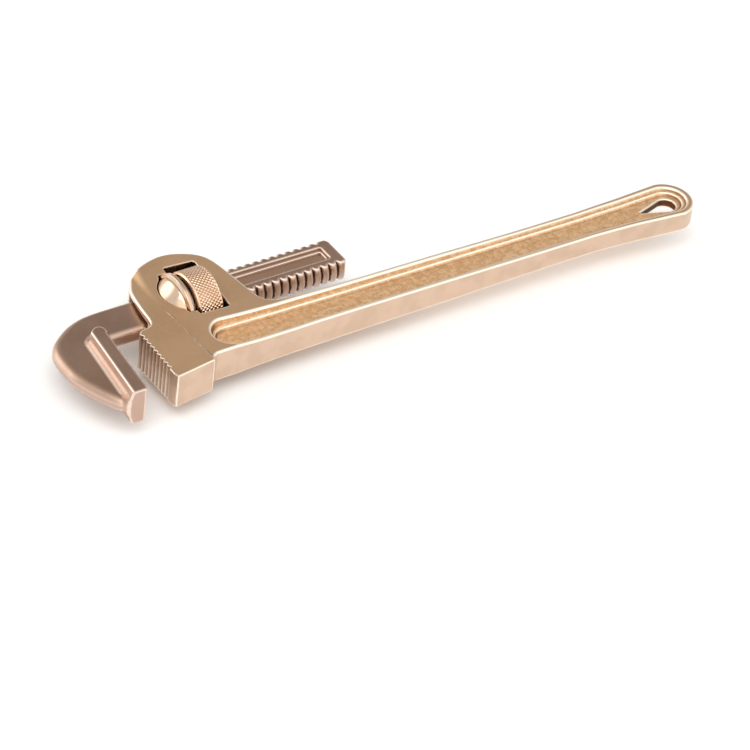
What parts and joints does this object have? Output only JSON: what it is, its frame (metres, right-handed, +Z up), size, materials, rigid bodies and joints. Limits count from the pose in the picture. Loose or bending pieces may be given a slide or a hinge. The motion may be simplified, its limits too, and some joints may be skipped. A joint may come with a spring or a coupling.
{
  "type": "pipe wrench",
  "caption": "Straight pipe wrench with a rocking hook jaw on a threaded flat shank, knurled adjusting nut, sprung domed cap and a recessed handle with a hang hole.",
  "frame": {"origin": "centre of the bounding box's underside, with the wrench lying flat and the jaws slightly open as pictured", "axes": "+X along the handle to its free end, jaws open towards -Y, +Z up out of the flat face, screw axis parallel to X"},
  "size_m": [0.4116, 0.1008, 0.0404],
  "materials": {
    "frame_bronze": "fine-blasted cast bronze faces, rough golden cast recesses",
    "jaw_bronze": "dark satin forged bronze",
    "nut_bronze": "turned and diamond knurled bronze",
    "cap_bronze": "polished bronze",
    "spring_metal": "drawn spring wire and strip",
    "rivet_bronze": "rivet ground flush with the head"
  },
  "bodies": {
    "handle": {"frame": "frame_bronze", "leaf_spring": "spring_metal", "spring_rivet": "rivet_bronze"},
    "rocker": {"spring_cap": "cap_bronze", "coil_spring": "spring_metal"},
    "nut": {"adjusting_nut": "nut_bronze"},
    "hook": {"hook_jaw": "jaw_bronze"}
  },
  "joints": [
    {"name": "jaw_rock", "type": "hinge", "parent": "handle", "child": "rocker", "pos_m": [-0.11175, 0.0166, 0.0202], "axis": [0, 0, 1], "range_deg": [-3, 0], "stiffness_Nm_per_rad": 8, "springref_deg": 2.86, "deforming": ["leaf_spring"]},
    {"name": "jaw_slide", "type": "slide", "parent": "rocker", "child": "hook", "axis": [-1, 0, 0], "range_m": [-0.015, 0.0424]},
    {"name": "nut_spin", "type": "hinge", "parent": "rocker", "child": "nut", "pos_m": [-0.10745, 0.0166, 0.0202], "axis": [1, 0, 0], "range_deg": [-1002, 2828]}
  ],
  "couplings": [
    {"joint": "nut_spin", "follows": "jaw_slide", "rad_per_m": 1163.6}
  ]
}
